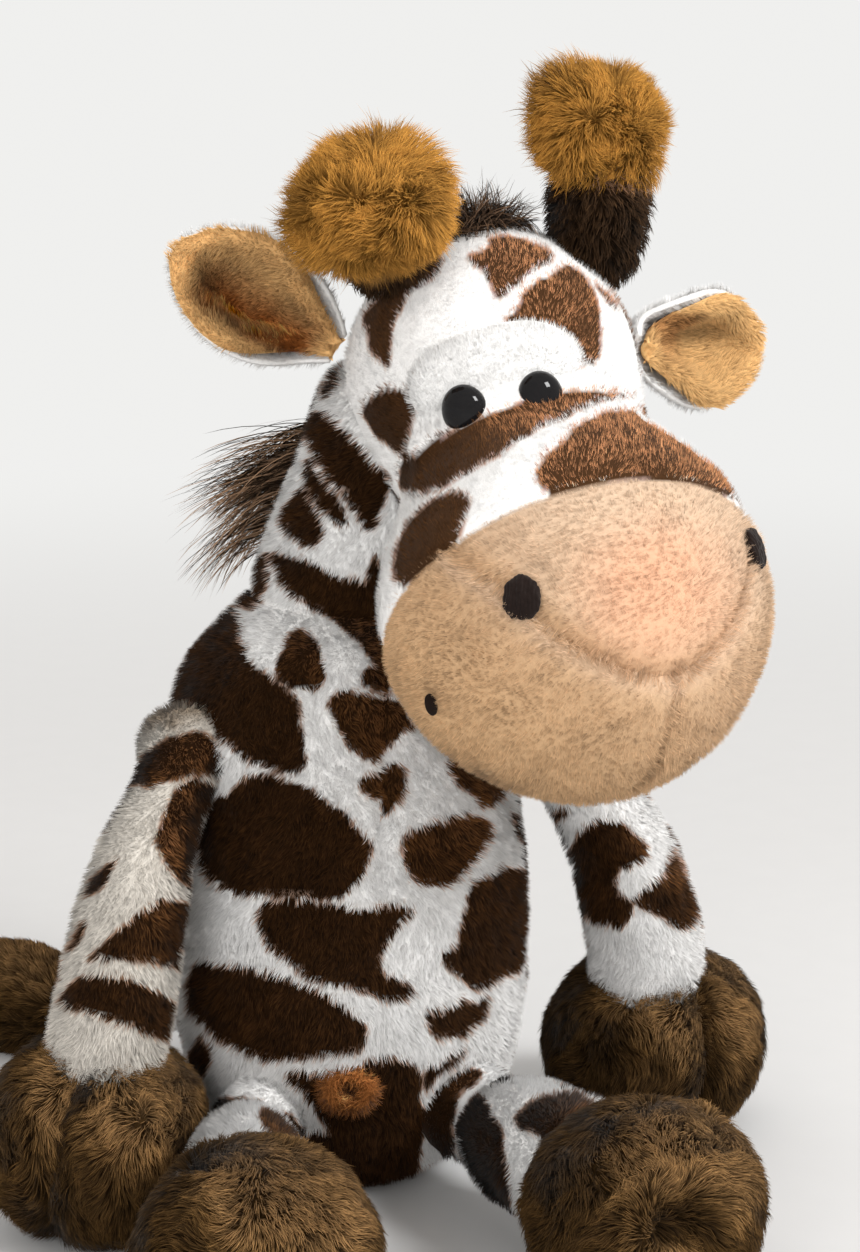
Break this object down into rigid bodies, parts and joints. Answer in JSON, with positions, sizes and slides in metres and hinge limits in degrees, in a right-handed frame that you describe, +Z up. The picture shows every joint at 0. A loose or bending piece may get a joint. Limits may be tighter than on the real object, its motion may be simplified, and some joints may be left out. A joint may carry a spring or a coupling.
{
  "type": "plush giraffe",
  "caption": "Seated plush giraffe: patched coat, tan snout, shaggy hooves, tufted horns, cupped ears, mane and tail; neck, head, limbs, horns, ears and tail move on their seams",
  "frame": {"origin": "middle of the flat under the seat, on the floor", "axes": "+Z up, the giraffe's body faces -Y, and +X is its own left"},
  "size_m": [0.2879, 0.3023, 0.349],
  "materials": {
    "coat": "short-pile plush, white with a brown patch print",
    "brown": "shaggy plush",
    "tan": "short-pile plush",
    "golden": "long-pile plush",
    "eye": "gloss",
    "washer": "matte",
    "thread": "embroidery thread",
    "navel": "puckered plush",
    "stuffing": "fibre fill",
    "pouch": "woven pouch"
  },
  "bodies": {
    "torso": {"torso_cover": "coat", "torso_filling": "stuffing", "seat_pellet_pouch": "pouch", "navel_ring": "navel"},
    "neck": {"neck_cover": "coat", "neck_filling": "stuffing", "mane": "brown"},
    "head": {"head_cover": "coat", "head_filling": "stuffing", "snout_upper_panel": "tan", "chin_panel_r": "tan", "chin_panel_l": "tan", "brow_panel": "coat", "eye_r": "eye", "eye_l": "eye", "eye_washer_r": "washer", "eye_washer_l": "washer", "nostril_r": "thread", "nostril_l": "thread", "mouth_stitch_r": "thread", "mouth_stitch_l": "thread", "forelock": "brown", "mane_crest": "brown"},
    "ear_r": {"ear_back_r": "coat", "ear_lining_r": "golden"},
    "ear_l": {"ear_back_l": "coat", "ear_lining_l": "golden"},
    "horn_r": {"horn_stalk_r": "brown", "horn_filling_r": "stuffing", "horn_pompom_r": "golden"},
    "horn_l": {"horn_stalk_l": "brown", "horn_filling_l": "stuffing", "horn_pompom_l": "golden"},
    "arm_r": {"arm_sleeve_r": "coat", "arm_filling_r": "stuffing", "front_hoof_r": "brown", "front_pellet_pouch_r": "pouch"},
    "arm_l": {"arm_sleeve_l": "coat", "arm_filling_l": "stuffing", "front_hoof_l": "brown", "front_pellet_pouch_l": "pouch"},
    "leg_r": {"leg_sleeve_r": "coat", "leg_filling_r": "stuffing", "hind_hoof_r": "brown", "hind_pellet_pouch_r": "pouch"},
    "leg_l": {"leg_sleeve_l": "coat", "leg_filling_l": "stuffing", "hind_hoof_l": "brown", "hind_pellet_pouch_l": "pouch"},
    "tail": {"tail_sleeve": "coat", "tail_filling": "stuffing", "tail_tuft": "brown"}
  },
  "joints": [
    {"name": "neck_bend", "type": "hinge", "parent": "torso", "child": "neck", "pos_m": [-0.0084, 0.00936, 0.1595], "axis": [1, 0, 0], "range_deg": [-8, 4], "stiffness_Nm_per_rad": 3},
    {"name": "head_turn", "type": "hinge", "parent": "neck", "child": "head", "pos_m": [0.0406, -0.00164, 0.259], "axis": [0.3939, 0, 0.9191], "range_deg": [-12, 12], "stiffness_Nm_per_rad": 2},
    {"name": "ear_flop_r", "type": "hinge", "parent": "head", "child": "ear_r", "pos_m": [-0.005, 0.00066, 0.26463], "axis": [0.0523, -0.9986, 0], "range_deg": [-25, 25], "stiffness_Nm_per_rad": 0.05},
    {"name": "ear_flop_l", "type": "hinge", "parent": "head", "child": "ear_l", "pos_m": [0.08569, 0.00554, 0.26458], "axis": [0.0523, -0.9986, 0], "range_deg": [-25, 25], "stiffness_Nm_per_rad": 0.05},
    {"name": "horn_flop_r", "type": "hinge", "parent": "head", "child": "horn_r", "pos_m": [0.01007, -0.01477, 0.29609], "axis": [0.9932, 0.052, 0.1045], "range_deg": [-8, 8], "stiffness_Nm_per_rad": 0.1},
    {"name": "horn_flop_l", "type": "hinge", "parent": "head", "child": "horn_l", "pos_m": [0.07257, 0.00004, 0.29715], "axis": [0.9932, 0.052, 0.1045], "range_deg": [-8, 8], "stiffness_Nm_per_rad": 0.1},
    {"name": "arm_swing_r", "type": "hinge", "parent": "torso", "child": "arm_r", "pos_m": [-0.05317, -0.02029, 0.142], "axis": [-1, 0, 0], "range_deg": [0, 95]},
    {"name": "arm_swing_l", "type": "hinge", "parent": "torso", "child": "arm_l", "pos_m": [0.04804, 0.00703, 0.142], "axis": [-1, 0, 0], "range_deg": [-12, 24]},
    {"name": "leg_lift_r", "type": "hinge", "parent": "torso", "child": "leg_r", "pos_m": [-0.03128, -0.04088, 0.03], "axis": [-0.9985, -0.0554, 0], "range_deg": [0, 40]},
    {"name": "leg_lift_l", "type": "hinge", "parent": "torso", "child": "leg_l", "pos_m": [0.03471, -0.03152, 0.03], "axis": [-0.834, -0.5518, 0], "range_deg": [0, 40]},
    {"name": "tail_swing", "type": "hinge", "parent": "torso", "child": "tail", "pos_m": [-0.01769, 0.04766, 0.028], "axis": [0, 0, 1], "range_deg": [-75, 10]}
  ]
}
